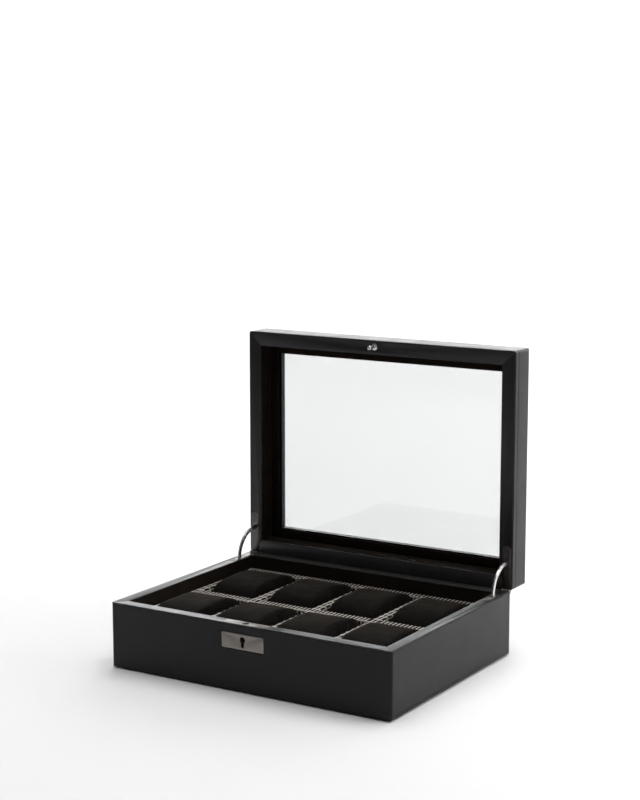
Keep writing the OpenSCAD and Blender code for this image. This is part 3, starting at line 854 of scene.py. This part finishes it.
class WindowOperator(bpy.types.Operator):
    """Glazes the lid's window"""

    bl_idname = "watchbox.window"
    bl_label = "Window"

    def execute(self, context):
        glass = finish_named("clear_glass", glass_nodes, context.scene.watch_box_colours.glass)
        softened("lid_glass", glass, 0.0)
        return {"FINISHED"}


class StageOperator(bpy.types.Operator):
    """Sets up the floor, the light and the camera"""

    bl_idname = "watchbox.stage"
    bl_label = "Stage"

    def execute(self, context):
        stage = context.scene.watch_box_stage
        context.scene.view_settings.view_transform = "Standard"
        self.sweep()
        self.world(stage.ambient)
        self.light(
            "overhead", stage.overhead, place=(0.1, 0.35, 2.6), target=(0.0, 0.2, 0.0), size=(2.6, 2.6)
        )
        self.light(
            "side", stage.side, place=(1.25, 0.65, 0.5), target=(0.35, 0.35, 0.0), size=(0.9, 0.8)
        )
        self.light(
            "back", stage.back, place=(-1.2, 1.2, 2.4), target=(-1.3, 2.25, 0.9), size=(4.5, 0.8),
            spread=math.radians(50),
        )
        self.camera(stage)
        return {"FINISHED"}

    def sweep(self):
        """Floor that curves up into a backdrop far behind the box."""
        front, depth, bend, height, width, steps = -3.0, 2.2, 0.9, 3.4, 4.5, 16
        profile = [(front, 0.0), (depth - bend, 0.0)]
        for k in range(1, steps + 1):
            turn = math.pi / 2 * k / steps
            profile.append((depth - bend + bend * math.sin(turn), bend - bend * math.cos(turn)))
        profile.append((depth, height))
        verts = [(x, y, z) for y, z in profile for x in (-width, width)]
        faces = [(2 * k, 2 * k + 1, 2 * k + 3, 2 * k + 2) for k in range(len(profile) - 1)]
        mesh = bpy.data.meshes.new("paper_sweep")
        mesh.from_pydata(verts, [], faces)
        shade_smooth(mesh)
        mesh.materials.append(finish_named("paper", floor_nodes, PAPER))
        link_object("paper_sweep", mesh)

    def world(self, strength):
        """Even light that fades towards the front, where the room is dark."""
        world = bpy.data.worlds.new("studio")
        bpy.context.scene.world = world
        world.use_nodes = True
        tree = world.node_tree
        background = tree.nodes["Background"]
        background.inputs["Color"].default_value = (1.0, 1.0, 1.0, 1.0)
        place = tree.nodes.new("ShaderNodeTexCoord")
        axes = tree.nodes.new("ShaderNodeSeparateXYZ")
        fade = tree.nodes.new("ShaderNodeMapRange")
        # from the front, at -1 in the second coordinate, to a little behind the middle
        ends = {"From Min": -0.9, "From Max": 0.4, "To Min": DARK_ROOM, "To Max": strength}
        for key, value in ends.items():
            fade.inputs[key].default_value = value
        tree.links.new(place.outputs["Generated"], axes.inputs[0])
        tree.links.new(axes.outputs[1], fade.inputs["Value"])
        tree.links.new(fade.outputs[0], background.inputs["Strength"])

    def light(self, name, power, place, target, size, spread=math.pi):
        """A rectangular light at a place, turned to a target."""
        data = bpy.data.lights.new(name, "AREA")
        data.shape, data.size, data.size_y, data.energy = "RECTANGLE", *size, power
        data.spread = spread
        lamp = link_object(name, data)
        lamp.location = place
        lamp.rotation_euler = (Vector(target) - Vector(place)).to_track_quat("-Z", "Y").to_euler()

    def camera(self, stage):
        data = bpy.data.cameras.new("view")
        data.lens, data.sensor_width = stage.focal, 36.0
        view = link_object("view", data)
        turn, tilt = stage.camera_turn, stage.camera_tilt
        right = Vector((math.cos(turn), math.sin(turn), 0.0))
        level = math.cos(tilt)
        ahead = Vector((-math.sin(turn) * level, math.cos(turn) * level, -math.sin(tilt)))
        up = right.cross(ahead)
        axes = Matrix((right, up, -ahead)).transposed().to_4x4()
        view.matrix_world = Matrix.Translation(stage.camera_place) @ axes
        bpy.context.scene.camera = view


PIECES = (
    LeatherOperator, BoardsOperator, LiningOperator, TrayOperator, PillowsOperator,
    LockOperator, HingesOperator, WindowOperator, StageOperator,
)


class WatchBoxPanel(bpy.types.Panel):
    """Lists the steps that dress the box"""

    bl_idname = "VIEW3D_PT_watch_box"
    bl_label = "Watch box"
    bl_space_type = "VIEW_3D"
    bl_region_type = "UI"
    bl_category = "Watch box"

    def draw(self, context):
        for piece in PIECES:
            self.layout.operator(piece.bl_idname)
        for group in scene_groups():
            for key in group.bl_rna.properties.keys():
                if key not in ("rna_type", "name"):
                    self.layout.prop(group, key)


GROUPS = {
    "watch_box_sizes": BoxSizes,
    "watch_box_colours": BoxColours,
    "watch_box_stage": StageSettings,
}
CLASSES = (*GROUPS.values(), *PIECES, WatchBoxPanel)


def register():
    for cls in CLASSES:
        bpy.utils.register_class(cls)
    for key, cls in GROUPS.items():
        setattr(bpy.types.Scene, key, PointerProperty(type=cls))


def unregister():
    for key in GROUPS:
        delattr(bpy.types.Scene, key)
    for cls in reversed(CLASSES):
        bpy.utils.unregister_class(cls)


def main():
    register()
    for piece in PIECES:
        group, step = piece.bl_idname.split(".")
        getattr(getattr(bpy.ops, group), step)()


if __name__ == "__main__":
    main()
